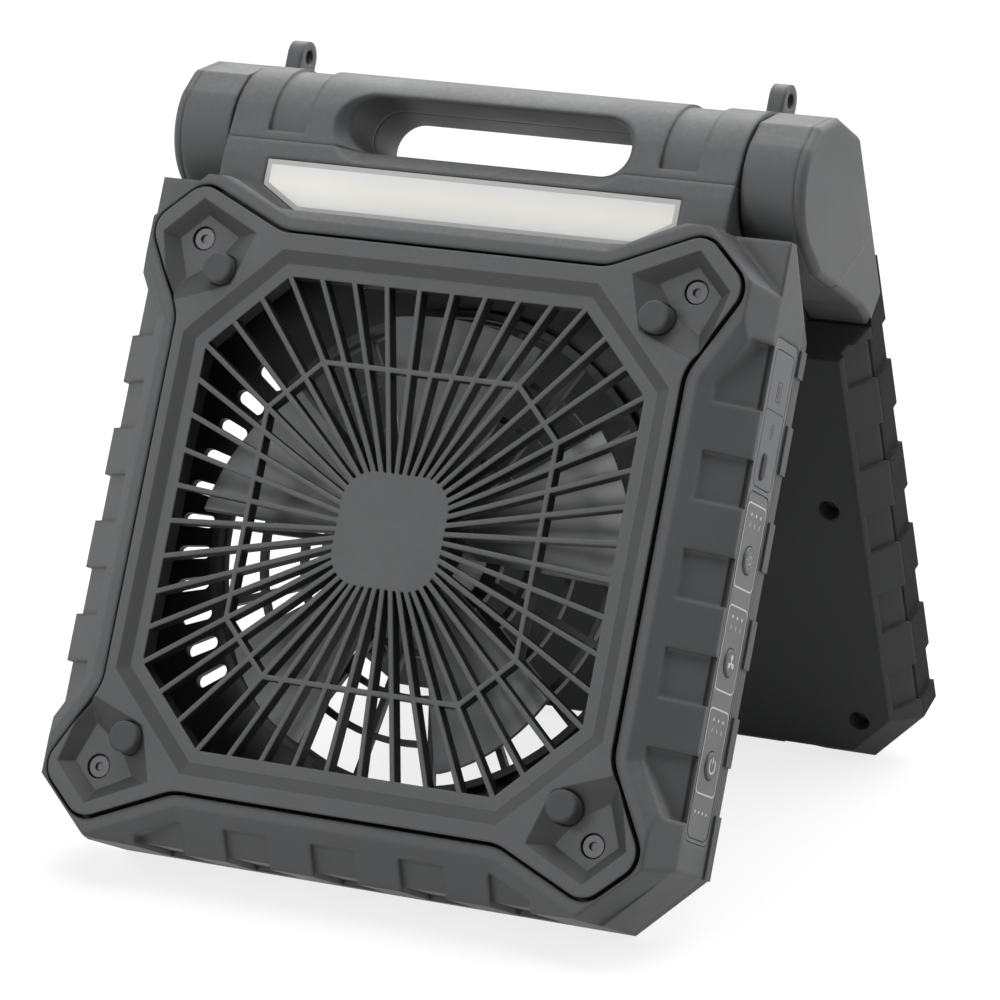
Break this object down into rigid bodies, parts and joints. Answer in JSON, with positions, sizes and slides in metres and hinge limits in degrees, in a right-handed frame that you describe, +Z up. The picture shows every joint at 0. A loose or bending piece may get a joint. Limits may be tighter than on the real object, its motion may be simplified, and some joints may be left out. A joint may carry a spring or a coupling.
{
  "type": "solar portable fan",
  "caption": "Folding camping fan: square fan panel with octagonal grille and light bar, hinged at a carry handle to a solar panel that props it up as an A-frame.",
  "frame": {"origin": "on the floor under the middle of the standing frame's box", "axes": "+X along the hinge towards the controls, -Y towards the fan's front, +Z up"},
  "size_m": [0.232, 0.2518, 0.2559],
  "materials": {
    "grey_plastic": "fine-grained moulded plastic",
    "strip_plastic": "smooth satin plastic",
    "dark_plastic": "matt plastic",
    "dark_rubber": "matt rubber",
    "diffuser": "frosted translucent plastic",
    "board": "coated circuit board",
    "chip": "phosphor light chip",
    "steel": "plated steel",
    "brass": "machined brass",
    "cell_wrap": "shrink wrap",
    "glass": "clear cover sheet",
    "silicon": "dark blue wafer",
    "white_sheet": "backing sheet"
  },
  "bodies": {
    "fan_panel": {"front_housing": "grey_plastic", "handle_front": "grey_plastic", "back_cover": "grey_plastic", "handle_back": "grey_plastic", "hanging_eyes": "grey_plastic", "front_grille": "grey_plastic", "grille_screws": "steel", "bumpers": "dark_rubber", "cover_screws": "steel", "motor_screws": "steel", "handle_screws": "steel", "light_diffuser": "diffuser", "light_board": "board", "light_chips": "chip", "motor_body": "steel", "battery_cells": "cell_wrap", "battery_tray": "dark_plastic", "control_board": "board", "tact_switches": "dark_plastic", "usb_a_socket": "steel", "usb_c_socket": "steel", "control_strip": "strip_plastic", "hinge_pins": "steel", "hinge_clips": "steel"},
    "rotor": {"fan_rotor": "grey_plastic", "motor_shaft": "steel"},
    "light_button_body": {"light_button": "strip_plastic"},
    "fan_button_body": {"fan_button": "strip_plastic"},
    "power_button_body": {"power_button": "strip_plastic"},
    "flap_body": {"port_flap": "dark_rubber"},
    "solar_panel": {"solar_frame": "dark_plastic", "hinge_ears": "grey_plastic", "left_ear_cap": "grey_plastic", "right_ear_cap": "grey_plastic", "inner_plate": "dark_plastic", "plate_screws": "steel", "solar_backsheet": "white_sheet", "solar_cells": "silicon", "solar_glass": "glass", "hinge_bushes": "brass", "friction_washers": "steel"}
  },
  "joints": [
    {"name": "panel_fold", "type": "hinge", "parent": "fan_panel", "child": "solar_panel", "pos_m": [0, 0.01216, 0.2264], "axis": [1, 0, 0], "range_deg": [-45.8, 134.2]},
    {"name": "fan_spin", "type": "hinge", "parent": "fan_panel", "child": "rotor", "pos_m": [0, -0.05398, 0.1092], "axis": [0, -0.905, 0.4254], "continuous": true},
    {"name": "flap_open", "type": "hinge", "parent": "fan_panel", "child": "flap_body", "pos_m": [0.1152, -0.0221, 0.17985], "axis": [0, -0.905, 0.4254], "range_deg": [0, 110], "stiffness_Nm_per_rad": 0.004},
    {"name": "light_button_press", "type": "slide", "parent": "fan_panel", "child": "light_button_body", "axis": [-1, 0, 0], "range_m": [0, 0.0006], "stiffness_N_per_m": 1500, "springref_m": -0.0008},
    {"name": "fan_button_press", "type": "slide", "parent": "fan_panel", "child": "fan_button_body", "axis": [-1, 0, 0], "range_m": [0, 0.0006], "stiffness_N_per_m": 1500, "springref_m": -0.0008},
    {"name": "power_button_press", "type": "slide", "parent": "fan_panel", "child": "power_button_body", "axis": [-1, 0, 0], "range_m": [0, 0.0006], "stiffness_N_per_m": 1500, "springref_m": -0.0008}
  ]
}
